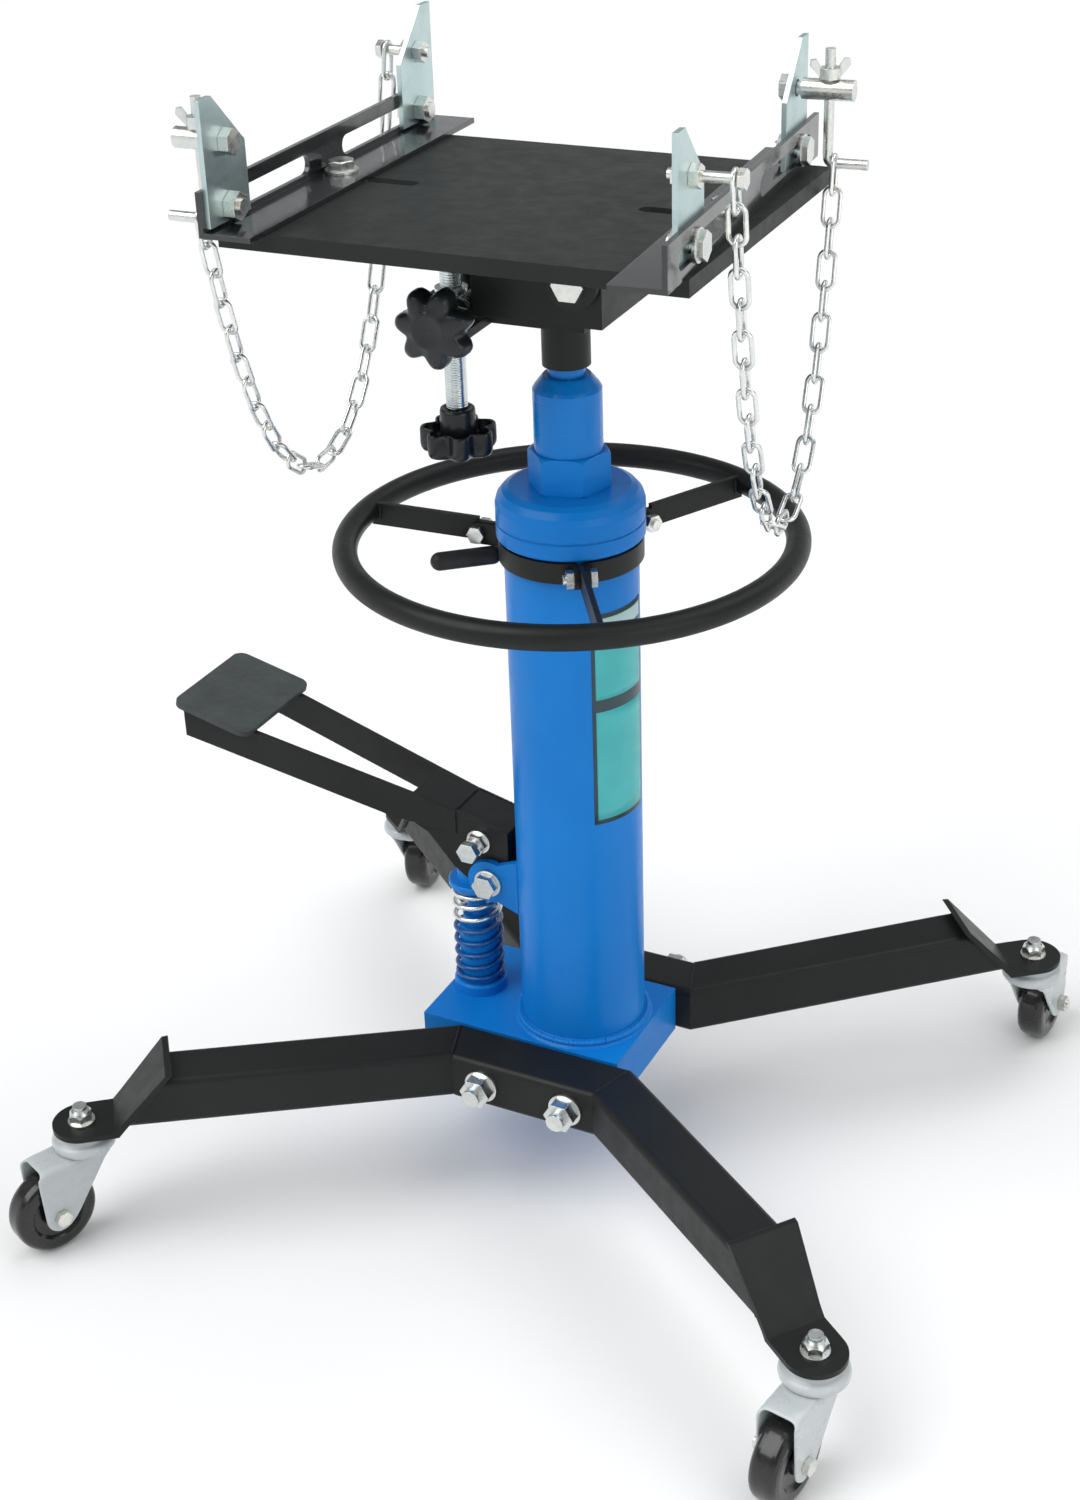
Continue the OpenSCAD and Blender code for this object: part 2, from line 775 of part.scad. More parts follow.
module swivel_socket() {
    color(black) at_saddle() difference() {
        union() {
            translate([0, 0, 735]) cylinder(r = 18.8, h = 33);
            translate([-69, -22, 768]) cube([94, 44, 7]);
            translate([-69, -72, 768]) cube([18, 60, 7]);
            translate([-70, -72, 768]) cube([20, 12, 24]);
            translate([fore_screw_x, 0, fore_screw_z]) rod_y(10, -72, -60);
            translate([-20, -20, 774]) cube([40, 40, tilt_pin_z - 774]);
            translate([0, 0, tilt_pin_z]) rod_x(20, -20, 20);
        }
        translate([0, 0, 730]) cylinder(r = ram2_r + fit, h = 32);
        translate([0, 0, tilt_pin_z]) rod_x(pin_r + 0.02, -30, 30);
        translate([fore_screw_x, 0, fore_screw_z]) rod_y(screw_r + fit, -80, -50);
    }
}

module tilt_pin() {
    color(zinc) at_saddle() translate([0, 0, tilt_pin_z]) {
        rod_x(pin_r, -49, 66);
        translate([-49, 0, 0]) rotate([0, -90, 0]) hex(17, 6);
        translate([56.5, 0, 0]) rotate([0, 90, 0]) nut(pin_r, 20, 7);
    }
}

module cradle() {
    wall = 5;
    color(black) at_saddle() difference() {
        union() {
            difference() {
                translate([-48, -cradle_y, 786]) cube([104, 2 * cradle_y, 49]);
                translate([-48 + wall, -cradle_y + 6, 780]) cube([104 - 2 * wall, 2 * cradle_y - 12, 60]);
            }
            translate([-48, 0, fore_screw_z]) rod_x(9, 0, wall);
            translate([-112, cradle_y - 6, 768]) cube([70, 6, 32]);
            translate([-112, -14, 768]) cube([34, cradle_y + 14, 12]);
        }
        translate([0, 0, tilt_pin_z]) rod_x(pin_r + fit, -60, 70);
        translate([-48, 0, fore_screw_z]) rod_x(4 + fit, -10, 20);
        translate([side_pivot_x, 0, side_pivot_z]) rod_y(screw_r + 0.02, -80, 80);
        translate([side_screw_x, 0, 760]) cylinder(r = screw_r + fit, h = 30);
    }
}

module pivot_bolts() {
    color(zinc) at_saddle() for (s = [0, 1]) mirror([0, s, 0]) translate([side_pivot_x, -67, side_pivot_z]) {
        rod_y(screw_r, 0, 24);
        rotate([90, 0, 0]) hex(22, 7);
        translate([0, 13.2, 0]) rotate([-90, 0, 0]) nut(screw_r, 22, 8);
    }
}

module fore_aft_screw() {
    color(zinc) at_saddle() translate([fore_screw_x, 0, fore_screw_z]) {
        rod_y(screw_r, -106, 42);
        translate([0, -59.7, 0]) rotate([-90, 0, 0]) washer(screw_r, 10.2, 4);
        translate([0, -72.3, 0]) rotate([90, 0, 0]) washer(screw_r, 11, 4);
    }
}

module fore_aft_knob() {
    color(black) at_saddle() translate([fore_screw_x, 0, fore_screw_z]) difference() {
        union() {
            side_plate(-106, -86) star(31);
            rod_y(15, -86, -77);
            rod_y(13, -109, -106);
        }
        rod_y(screw_r + 0.01, -106, -70);
    }
}

module fore_aft_nut() {
    color(zinc) at_saddle() translate([fore_screw_x, 0, fore_screw_z]) difference() {
        union() {
            translate([-10, -nut_half, -nut_half]) cube([19.5, 2 * nut_half, 2 * nut_half]);
            rod_x(4, 9, 19);
        }
        rod_y(screw_r + 0.6, -20, 20);
    }
}

module side_screw() {
    color(zinc) at_saddle() translate([side_screw_x, 0, 0]) {
        translate([0, 0, 653]) cylinder(r = screw_r, h = 189);
        translate([0, 0, 780.3]) washer(screw_r, 13, 5);
        translate([0, 0, 762.7]) washer(screw_r, 13, 5);
    }
}

module side_knob() {
    color(black) at_saddle() translate([side_screw_x, 0, 0]) difference() {
        union() {
            translate([0, 0, 651]) linear_extrude(21) star(31);
            translate([0, 0, 672]) cylinder(r = 14, h = 16);
            translate([0, 0, 649]) cylinder(r = 13, h = 2);
        }
        translate([0, 0, 653]) cylinder(r = screw_r + 0.01, h = 60);
    }
}

module side_nut() {
    color(zinc) at_saddle() translate([side_screw_x, 0, side_pivot_z]) difference() {
        union() {
            translate([-12, -12, -nut_half]) cube([24, 24, 2 * nut_half]);
            rod_y(4, -19, 19);
        }
        translate([0, 0, -20]) cylinder(r = screw_r + 1.6, h = 40);
    }
}

module slot_cut(x0, x1, y, r) {
    translate([x0, y - r, plate_top - 20]) cube([x1 - x0, 2 * r, 40]);
    for (x = [x0, x1]) translate([x, y, plate_top - 20]) cylinder(r = r, h = 40);
}

module saddle_plate() {
    long = plate_left + plate_right;
    under = plate_top - plate_t;
    color(black) at_saddle() difference() {
        union() {
            difference() {
                translate([-plate_left, -plate_y, plate_top - 13]) cube([long, 2 * plate_y, 13]);
                translate([plate_t - plate_left, plate_t - plate_y, plate_top - 20])
                    cube([long - 2 * plate_t, 2 * (plate_y - plate_t), 20 - plate_t]);
            }
            for (s = [0, 1]) mirror([0, s, 0]) {
                side_plate(cradle_y + 0.5, cradle_y + 6.5) union() {
                    translate([side_pivot_x, side_pivot_z]) circle(r = 20);
                    translate([side_pivot_x - 20, side_pivot_z]) square([40, under - side_pivot_z + 1]);
                }
                side_plate(14, 19) union() {
                    translate([side_screw_x, side_pivot_z]) circle(r = 12);
                    translate([side_screw_x - 12, side_pivot_z]) square([24, under - side_pivot_z + 1]);
                }
            }
        }
        slot_cut(slot_bolt_x - plate_left, -128, 6, 6.5);
        slot_cut(69, right_iron_x - slot_bolt_x, -2.9, 6.7);
        translate([side_pivot_x, 0, side_pivot_z]) rod_y(screw_r + fit, -80, 80);
        translate([side_screw_x, 0, side_pivot_z]) rod_y(4 + fit, -30, 30);
    }
}

// Saddle irons, brackets and chains ---------------------------------------------------

module iron(bolt_y) {
    half = iron_length / 2;
    difference() {
        union() {
            translate([0, -half, plate_top]) cube([iron_t, iron_length, 33]);
            translate([0, -half, plate_top]) cube([42, iron_length, iron_t]);
        }
        for (y = [-158, 25.5]) {
            translate([-5, y + 7.5, 868]) cube([15, 117, 15]);
            for (dy = [7.5, 124.5]) translate([0, y + dy, 875.5]) rod_x(7.5, -5, 10);
        }
        translate([slot_bolt_x, bolt_y, plate_top - 5]) cylinder(r = 6.2, h = 20);
    }
}

module bracket(y, side) {
    translate([iron_t + 0.05, y, 0]) mirror([0, side, 0]) difference() {
        rotate([90, 0, 90]) linear_extrude(iron_t)
            polygon([[-27.5, 866], [27.5, 866], [27.5, 917], [-11.5, 956], [-27.5, 956]]);
        for (z = [lower_z, upper_z]) translate([0, 0, z]) rod_x(6.3, -5, 10);
    }
}

// Bolt through the flange and a bracket: head outside, nut inside
module flange_bolt(y) {
    translate([0, y, lower_z]) {
        rod_x(6, -0.3, 20);
        translate([-0.1, 0, 0]) rotate([0, -90, 0]) washer(0.1, 12, 2.2);
        translate([-2.3, 0, 0]) rotate([0, -90, 0]) hex(19, 5);
        translate([2 * iron_t + 0.2, 0, 0]) rotate([0, 90, 0]) nut(6, 19, 9);
    }
}

// Bolt at the top of a bracket that holds the first link of the chain
module chain_bolt(y, link_x) {
    translate([0, y, upper_z]) {
        rod_x(4, link_x - 6, 20);
        translate([link_x - 3, 0, 0]) rotate([0, -90, 0]) hex(13, 5);
        translate([iron_t - 0.1, 0, 0]) rotate([0, -90, 0]) nut(4, 15, 7);
        translate([2 * iron_t + 0.2, 0, 0]) rotate([0, 90, 0]) nut(4, 15, 8);
    }
}

// Bolt that holds the hook's bar on a bracket
module bar_bolt(y) {
    translate([0, y, upper_z]) {
        rod_x(5, -6.5, 14);
        translate([2 * iron_t + 0.2, 0, 0]) rotate([0, 90, 0]) hex(17, 8);
    }
}

// Clamping bolt through the plate's slot
module slot_bolt(y) {
    translate([slot_bolt_x, y, 0]) {
        translate([0, 0, plate_top + iron_t + 0.1]) washer(6, 13, 2.2);
        translate([0, 0, plate_top + iron_t + 2.3]) bolt_down(6, 26, 19);
        translate([0, 0, plate_top - plate_t - 2.6]) washer(6, 12.5, 2.5);
        translate([0, 0, plate_top - plate_t - 11.6]) nut(6, 19, 9);
    }
}

module iron_bolts(slot_y, hook_y, chain_y, link_x) {
    slot_bolt(slot_y);
    flange_bolt(hook_y);
    flange_bolt(chain_y);
    bar_bolt(hook_y);
    chain_bolt(chain_y, link_x);
}

// Bar on the bracket with the J-bolt that takes the end of the chain
module chain_hook(hook_y, link_x, leg_z) {
    jx = link_x + hook_step;
    translate([0, hook_y, upper_z]) difference() {
        rod_x(7.75, jx - 19, -0.1);
        rod_x(5.05, -6.6, 20);
        translate([jx, 0, -20]) cylinder(r = hook_r + 0.1, h = 40);
    }
    translate([jx - hook_bend, hook_y, leg_z]) {
        translate([hook_bend, 0, hook_bend]) cylinder(r = hook_r, h = hook_top - leg_z - hook_bend);
        translate([0, 0, hook_bend]) rotate([-90, 0, 0]) rotate_extrude(angle = 90)
            translate([hook_bend, 0]) circle(r = hook_r, $fn = 32);
        rod_x(hook_r, -26, 0);
    }
}

module wing_nut(hook_y, link_x) {
    translate([link_x + hook_step, hook_y, upper_z + 8.2]) {
        washer(hook_r + fit, 8, 8);
        for (a = [25, 205]) rotate([0, 0, a]) difference() {
            side_plate(-1.6, 1.6) polygon([[6, 1], [8, 1.5], [15, 9.5], [14.4, 14], [10.5, 14.5], [6, 8]]);
            translate([0, 0, -1]) cylinder(r = 7, h = 30);
        }
    }
}

// One link in the XZ plane of its own frame, long way along x
module link() {
    wire = wire_d / 2;
    bend = link_width / 2 - wire;
    straight = link_length - link_width;
    rotate([90, 0, 0]) {
        for (s = [0, 1]) mirror([s, 0, 0]) translate([straight / 2, 0, 0]) rotate([0, 0, -90])
            rotate_extrude(angle = 180, $fn = 24) translate([bend, 0]) circle(r = wire, $fn = 16);
        for (s = [-1, 1]) translate([-straight / 2, s * bend, 0]) rotate([0, 90, 0])
            cylinder(r = wire, h = straight, $fn = 16);
    }
}

// Chain hanging from the bolt at chain_y to the hook's leg, on the curve that its weight gives
module chain(chain_y, link_x, sag, low, leg_z) {
    rise1 = upper_z - low;
    rise2 = leg_z - low;
    u1 = acosh(1 + rise1 / sag);
    u2 = acosh(1 + rise2 / sag);
    low_y = chain_y - sag * u1;
    inside = link_length / 2 - wire_d;
    start = sag * sinh(u1) - inside + 4;
    finish = inside - hook_r - sag * sinh(u2);
    pitch = (start - finish) / (link_count - 1);
    for (k = [0:link_count - 1]) {
        s = start - k * pitch;
        y = low_y + sag * ln(s / sag + sqrt(pow(s / sag, 2) + 1));
        z = low + sqrt(sag * sag + s * s) - sag;
        translate([link_x, y, z]) rotate([atan(s / sag), 0, 0]) rotate([0, 0, 90]) rotate([k % 2 * 90, 0, 0])
            link();
    }
}

module left_iron() {
    color(black) at_left_iron() iron(-2.5);
}

module left_iron_bolts() {
    color(zinc) at_left_iron() iron_bolts(-2.5, left_hook_y, left_chain_y, left_chain_x);
}

module left_brackets() {
    color(zinc) at_left_iron() {
        bracket(left_hook_y, 0);
        bracket(left_chain_y, 1);
    }
}

module left_chain_hook() {
    color(zinc) at_left_iron() chain_hook(left_hook_y, left_chain_x, left_leg_z);
}

module left_wing_nut() {
    color(zinc) at_left_iron() wing_nut(left_hook_y, left_chain_x);
}

module left_chain() {
    color(zinc) at_left_iron() chain(left_chain_y, left_chain_x, left_sag, left_low, left_leg_z);
}

module right_iron() {
    color(black) at_right_iron() iron(-2.5);
}

module right_iron_bolts() {
    color(zinc) at_right_iron() iron_bolts(-2.5, right_hook_y, right_chain_y, right_chain_x);
}

module right_brackets() {
    color(zinc) at_right_iron() {
        bracket(right_hook_y, 0);
        bracket(right_chain_y, 1);
    }
}

module right_chain_hook() {
    color(zinc) at_right_iron() chain_hook(right_hook_y, right_chain_x, right_leg_z);
}

module right_wing_nut() {
    color(zinc) at_right_iron() wing_nut(right_hook_y, right_chain_x);
}

module right_chain() {
    color(zinc) at_right_iron() chain(right_chain_y, right_chain_x, right_sag, right_low, right_leg_z);
}

base_block();
front_leg_frame();
rear_leg_frame();
end_plates();
chassis_bolts();
front_left_fork();
front_right_fork();
back_left_fork();
back_right_fork();
front_left_wheel();
front_right_wheel();
back_left_wheel();
back_right_wheel();
front_left_axle();
front_right_axle();
back_left_axle();
back_right_axle();
outer_cylinder();
cylinder_cap();
gland_nut();
first_ram();
first_piston();
second_ram();
second_piston();
left_clamp_band();
right_clamp_band();
hand_ring();
clamp_bolts();
release_rod();
release_lever();
pump_cylinder();
pump_piston();
pump_spring();
pedal_lever();
pedal_pad();
pedal_pin();
pedal_bolt();
swivel_socket();
tilt_pin();
cradle();
pivot_bolts();
fore_aft_screw();
fore_aft_knob();
fore_aft_nut();
side_screw();
side_knob();
side_nut();
saddle_plate();
left_iron();
left_iron_bolts();
left_brackets();
left_chain_hook();
left_wing_nut();
left_chain();
right_iron();
right_iron_bolts();
right_brackets();
right_chain_hook();
right_wing_nut();
right_chain();
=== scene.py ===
import math
import bpy
from mathutils import Matrix, Vector


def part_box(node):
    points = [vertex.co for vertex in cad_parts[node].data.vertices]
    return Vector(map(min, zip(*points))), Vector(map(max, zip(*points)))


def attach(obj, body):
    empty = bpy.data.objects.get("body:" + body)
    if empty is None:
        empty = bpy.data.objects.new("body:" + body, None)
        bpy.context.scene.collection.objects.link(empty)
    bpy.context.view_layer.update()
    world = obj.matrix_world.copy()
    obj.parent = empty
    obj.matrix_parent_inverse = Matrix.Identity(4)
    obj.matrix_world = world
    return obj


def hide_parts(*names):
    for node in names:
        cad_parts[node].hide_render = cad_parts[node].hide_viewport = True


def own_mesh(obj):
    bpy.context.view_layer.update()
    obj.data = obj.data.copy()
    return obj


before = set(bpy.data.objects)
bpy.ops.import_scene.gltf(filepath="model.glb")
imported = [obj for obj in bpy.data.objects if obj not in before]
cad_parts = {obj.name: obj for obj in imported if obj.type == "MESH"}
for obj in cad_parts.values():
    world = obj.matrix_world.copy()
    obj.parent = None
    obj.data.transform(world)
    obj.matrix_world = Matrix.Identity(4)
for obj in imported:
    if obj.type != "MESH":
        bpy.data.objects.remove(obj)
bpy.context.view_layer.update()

# Places taken from the frame, in metres -----------------------------------------------------------


def middle(node):
    low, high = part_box(node)
    return (low + high) / 2


COLUMN = middle("cylinder_cap")
CHASSIS = middle("front_leg_frame")
TUBE_RADIUS = 0.0537
TUBE_FOOT = 0.139
COLLAR_LINE = 0.6665     # the paint on each ram starts here
NECK_LINE = 0.7215
SPRING_LOW, SPRING_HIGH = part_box("pump_spring")
SPRING_LINE = SPRING_HIGH.z - 0.36 * (SPRING_HIGH.z - SPRING_LOW.z)


# Materials ----------------------------------------------------------------------------------------

class Shader:
    """A new material with a few short calls for its nodes."""

    def __init__(self, name, roughness, metallic=0.0, coat=0.0, specular=0.5):
        self.material = bpy.data.materials.new(name)
        self.material.use_nodes = True
        self.tree = self.material.node_tree
        self.bsdf = self.tree.nodes["Principled BSDF"]
        self.bsdf.inputs["Metallic"].default_value = metallic
        self.bsdf.inputs["Roughness"].default_value = roughness
        self.bsdf.inputs["Coat Weight"].default_value = coat
        self.bsdf.inputs["Coat Roughness"].default_value = 0.08
        self.bsdf.inputs["Specular IOR Level"].default_value = specular
        self.where = self.node("ShaderNodeTexCoord").outputs["Object"]

    def node(self, kind, **values):
        new = self.tree.nodes.new(kind)
        for key, value in values.items():
            setattr(new, key, value)
        return new

    def link(self, source, target):
        self.tree.links.new(source, target)

    def noise(self, scale, detail=3.0, rough=0.5, stretch=(1, 1, 1)):
        new = self.node("ShaderNodeTexNoise")
        new.inputs["Scale"].default_value = scale
        new.inputs["Detail"].default_value = detail
        new.inputs["Roughness"].default_value = rough
        place = self.node("ShaderNodeMapping")
        place.inputs["Scale"].default_value = stretch
        self.link(self.where, place.inputs["Vector"])
        self.link(place.outputs["Vector"], new.inputs["Vector"])
        return new.outputs["Fac"]

    def ramp(self, factor, stops):
        new = self.node("ShaderNodeValToRGB")
        elements = new.color_ramp.elements
        while len(elements) < len(stops):
            elements.new(0.5)
        for element, (place, colour) in zip(elements, stops):
            element.position = place
            element.color = (*colour, 1)
        self.link(factor, new.inputs["Fac"])
        return new.outputs["Color"]

    def map_range(self, value, low, high, to_low, to_high):
        new = self.node("ShaderNodeMapRange")
        for key, number in zip(("From Min", "From Max", "To Min", "To Max"), (low, high, to_low, to_high)):
            new.inputs[key].default_value = number
        self.link(value, new.inputs["Value"])
        return new.outputs["Result"]

    def mix(self, factor, first, second):
        new = self.node("ShaderNodeMix", data_type="RGBA")
        self.link(factor, new.inputs["Factor"])
        for socket, value in ((new.inputs["A"], first), (new.inputs["B"], second)):
            if isinstance(value, tuple):
                socket.default_value = (*value, 1)
            else:
                self.link(value, socket)
        return new.outputs["Result"]

    def height(self, low, high):
        """0 below low and 1 above high, along z."""
        split = self.node("ShaderNodeSeparateXYZ")
        self.link(self.where, split.inputs["Vector"])
        return self.map_range(split.outputs["Z"], low, high, 0, 1)

    def surface(self, height, strength, distance, edge=0.0):
        """Bump from a height, over edges rounded by the edge radius."""
        bump = self.node("ShaderNodeBump")
        bump.inputs["Strength"].default_value = strength
        bump.inputs["Distance"].default_value = distance
        self.link(height, bump.inputs["Height"])
        if edge:
            soft = self.node("ShaderNodeBevel", samples=4)
            soft.inputs["Radius"].default_value = edge
            self.link(soft.outputs["Normal"], bump.inputs["Normal"])
        self.link(bump.outputs["Normal"], self.bsdf.inputs["Normal"])

    def edges(self, radius, reach):
        """1 on sharp edges and 0 on flat faces."""
        soft = self.node("ShaderNodeBevel", samples=4)
        soft.inputs["Radius"].default_value = radius
        plain = self.node("ShaderNodeNewGeometry")
        dot = self.node("ShaderNodeVectorMath", operation="DOT_PRODUCT")
        self.link(soft.outputs["Normal"], dot.inputs[0])
        self.link(plain.outputs["Normal"], dot.inputs[1])
        return self.map_range(dot.outputs["Value"], 1.0, reach, 0, 1)

    def colour(self, socket):
        self.link(socket, self.bsdf.inputs["Base Color"])

    def roughness(self, low, high, factor):
        self.link(self.map_range(factor, 0.3, 0.7, low, high), self.bsdf.inputs["Roughness"])


def enamel(name, dark, light, roughness, coat, peel, edge=0.0009, wear=None, specular=0.22):
    """Sprayed paint: slow colour drift, orange peel, softened edges, and thin wear on the edges."""
    s = Shader(name, roughness, coat=coat, specular=specular)
    drift = s.ramp(s.noise(7, 4), [(0.3, dark), (0.7, light)])
    if wear:
        rub = s.node("ShaderNodeMath", operation="MULTIPLY")
        s.link(s.edges(0.0007, 0.86), rub.inputs[0])
        s.link(s.map_range(s.noise(90, 5, 0.7), 0.5, 0.68, 0, 1), rub.inputs[1])
        drift = s.mix(rub.outputs["Value"], drift, wear)
    s.colour(drift)
    s.roughness(roughness - 0.05, roughness + 0.08, s.noise(60, 5, 0.6))
    s.surface(s.noise(420, 2), peel, 0.0004, edge)
    return s.material


def plating(name, cool, warm, roughness, edge=0.0006, grain=(1, 1, 1), spread=0.1):
    """Zinc plate: cloudy bluish and yellowish metal with a fine grain."""
    s = Shader(name, roughness, metallic=1.0)
    middle_tint = tuple((a + b) / 2 for a, b in zip(cool, warm))
    s.colour(s.ramp(s.noise(38, 6, 0.65), [(0.34, cool), (0.5, middle_tint), (0.68, warm)]))
    s.roughness(roughness - spread, roughness + spread, s.noise(150, 5, 0.6, grain))
    s.surface(s.noise(700, 3, 0.6, grain), 1.2 * spread, 0.0002, edge)
    return s.material


def moulded(name, dark, light, roughness, peel, coat=0.0):
    """Moulded plastic or rubber."""
    s = Shader(name, roughness, coat=coat, specular=0.35)
    s.colour(s.ramp(s.noise(25, 4), [(0.3, dark), (0.7, light)]))
    s.roughness(roughness - 0.06, roughness + 0.1, s.noise(120, 4))
    s.surface(s.noise(500, 3), peel, 0.0004, 0.0008)
    return s.material


def painted_ram(name, line):
    """A ram with blue paint above the line at its top, and ground metal below it."""
    s = Shader(name, 0.3, coat=0.04, specular=0.2)
    paint = s.height(line - 0.0005, line + 0.0005)
    blue = s.ramp(s.noise(7, 4), [(0.3, BLUE_DARK), (0.7, BLUE_LIGHT)])
    s.colour(s.mix(paint, (0.56, 0.57, 0.59), blue))
    flip = s.map_range(paint, 0, 1, 1, 0)
    s.link(flip, s.bsdf.inputs["Metallic"])
    s.roughness(0.16, 0.3, s.noise(60, 4, 0.6, (1, 1, 20)))
    s.surface(s.noise(420, 2), 0.1, 0.0004, 0.0009)
    return s.material


def dipped_spring(name):
    """Zinc spring whose lower coils caught the blue paint."""
    s = Shader(name, 0.28)
    line = s.height(SPRING_LINE - 0.004, SPRING_LINE + 0.006)
    zinc = s.ramp(s.noise(60, 4), [(0.3, (0.62, 0.66, 0.66)), (0.7, (0.86, 0.86, 0.82))])
    s.colour(s.mix(line, (0.003, 0.075, 0.270), zinc))
    s.link(line, s.bsdf.inputs["Metallic"])
    s.roughness(0.2, 0.36, s.noise(150, 4))
    s.surface(s.noise(600, 3), 0.12, 0.0003)
    return s.material


def printed(name, dark, light):
    """Printed foil of the label."""
    s = Shader(name, 0.42, coat=0.15)
    s.colour(s.ramp(s.noise(40, 4), [(0.35, dark), (0.65, light)]))
    s.roughness(0.34, 0.5, s.noise(90, 4))
    s.surface(s.noise(260, 3), 0.05, 0.0002)
    return s.material


def tread_rubber(name):
    """Rubber skin of the pedal pad, with a fine noisy grain pressed in it."""
    s = Shader(name, 0.62)
    s.colour(s.ramp(s.noise(30, 5), [(0.3, (0.030, 0.037, 0.038)), (0.7, (0.050, 0.060, 0.061))]))
    s.roughness(0.52, 0.74, s.noise(160, 5))
    s.surface(s.noise(320, 5, 0.7), 0.35, 0.0006, 0.0012)
    return s.material


BLUE_DARK = (0.003, 0.158, 0.530)
BLUE_LIGHT = (0.005, 0.195, 0.600)
BLUE = enamel("blue_enamel", BLUE_DARK, BLUE_LIGHT, 0.34, 0.04, 0.10,
              wear=(0.03, 0.27, 0.70), specular=0.16)
BLACK = enamel("black_enamel", (0.0075, 0.0080, 0.0080), (0.0130, 0.0138, 0.0136), 0.42, 0.03, 0.16,
               edge=0.0013, wear=(0.060, 0.065, 0.068))
IRON_BLACK = enamel("iron_enamel", (0.008, 0.009, 0.010), (0.017, 0.019, 0.020), 0.20, 0.6, 0.08,
                    wear=(0.09, 0.10, 0.11), specular=0.5)
PLATE_BLACK = enamel("plate_enamel", (0.013, 0.0145, 0.0140), (0.021, 0.0232, 0.0225), 0.46, 0.03, 0.18,
                     wear=(0.075, 0.08, 0.085), specular=0.18)
FORK_GREY = enamel("fork_enamel", (0.44, 0.475, 0.485), (0.52, 0.555, 0.565), 0.28, 0.3, 0.06,
                   edge=0.0016, specular=0.5)
ZINC = plating("zinc_plate", (0.60, 0.64, 0.65), (0.80, 0.79, 0.72), 0.30)
BRACKET_ZINC = plating("bracket_zinc", (0.47, 0.60, 0.61), (0.58, 0.69, 0.68), 0.38,
                       edge=0.0005, spread=0.05)
CHAIN_ZINC = plating("chain_zinc", (0.62, 0.65, 0.66), (0.84, 0.84, 0.80), 0.26, edge=0.0)
SCREW_ZINC = plating("screw_zinc", (0.52, 0.60, 0.62), (0.78, 0.80, 0.78), 0.22, grain=(1, 1, 6))
GROUND = plating("ground_steel", (0.50, 0.51, 0.53), (0.60, 0.61, 0.62), 0.16, grain=(1, 1, 12))
KNOB_BLACK = moulded("knob_plastic", (0.006, 0.008, 0.010), (0.013, 0.017, 0.020), 0.30, 0.10, coat=0.1)
WHEEL_BLACK = moulded("wheel_plastic", (0.006, 0.006, 0.006), (0.012, 0.012, 0.012), 0.22, 0.05, coat=0.4)
GRIP_BLACK = moulded("grip_rubber", (0.010, 0.010, 0.0105), (0.020, 0.020, 0.021), 0.55, 0.25)
PAD_RUBBER = tread_rubber("pad_rubber")
FIRST_RAM = painted_ram("first_ram_finish", COLLAR_LINE)
SECOND_RAM = painted_ram("second_ram_finish", NECK_LINE)
SPRING = dipped_spring("dipped_spring")
LABEL_EDGE = printed("label_border", (0.004, 0.028, 0.042), (0.006, 0.036, 0.052))
LABEL_TEAL = printed("label_panel", (0.030, 0.385, 0.400), (0.038, 0.425, 0.440))
LABEL_PALE = printed("label_band", (0.30, 0.45, 0.44), (0.34, 0.50, 0.49))

CORNERS = ("front_left", "front_right", "back_left", "back_right")
CORNER_SIGNS = ((-1, -1), (1, -1), (-1, 1), (1, 1))
SIDES = ("left", "right")
FINISHES = {
    "base_block": BLUE, "outer_cylinder": BLUE, "cylinder_cap": BLUE, "gland_nut": BLUE,
    "pump_cylinder": BLUE, "pump_piston": BLUE, "first_ram": FIRST_RAM, "second_ram": SECOND_RAM,
    "first_piston": GROUND, "second_piston": GROUND,
    "front_leg_frame": BLACK, "rear_leg_frame": BLACK, "end_plates": BLACK,
    "left_clamp_band": BLACK, "right_clamp_band": BLACK, "hand_ring": BLACK,
    "pedal_lever": BLACK, "swivel_socket": BLACK, "cradle": BLACK, "saddle_plate": PLATE_BLACK,
    "release_lever": GRIP_BLACK, "pedal_pad": PAD_RUBBER, "pump_spring": SPRING,
    "fore_aft_screw": SCREW_ZINC, "side_screw": SCREW_ZINC,
    "fore_aft_knob": KNOB_BLACK, "side_knob": KNOB_BLACK,
}
FINISHES.update({f"{corner}_fork": FORK_GREY for corner in CORNERS})
FINISHES.update({f"{corner}_wheel": WHEEL_BLACK for corner in CORNERS})
FINISHES.update({f"{side}_iron": IRON_BLACK for side in SIDES})
FINISHES.update({f"{side}_brackets": BRACKET_ZINC for side in SIDES})
FINISHES.update({f"{side}_chain": CHAIN_ZINC for side in SIDES})

for name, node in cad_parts.items():
    node.data.materials.clear()
    node.data.materials.append(FINISHES.get(name, ZINC))


# Mesh helpers -------------------------------------------------------------------------------------

def add_piece(name, points, faces, material, body):
    """A new mesh piece that rides on a CAD body and takes its finish from a slot."""
    mesh = bpy.data.meshes.new(name)
    mesh.from_pydata([tuple(p) for p in points], [], faces)
    mesh.validate()
    mesh.materials.append(material)
    mesh.polygons.foreach_set("use_smooth", [True] * len(mesh.polygons))
    piece = bpy.data.objects.new(name, mesh)
    bpy.context.scene.collection.objects.link(piece)
    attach(piece, body)
    return piece


def tube_faces(rings, sides, closed):
    """Faces of a tube of rings, with its ends filled when it isn't closed on itself."""
    faces = []
    for k in range(rings if closed else rings - 1):
        for i in range(sides):
            a, b = k * sides, (k + 1) % rings * sides
            faces.append((a + i, b + i, b + (i + 1) % sides, a + (i + 1) % sides))
    if not closed:
        faces.append(tuple(range(sides)))
        faces.append(tuple((rings - 1) * sides + i for i in reversed(range(sides))))
    return faces


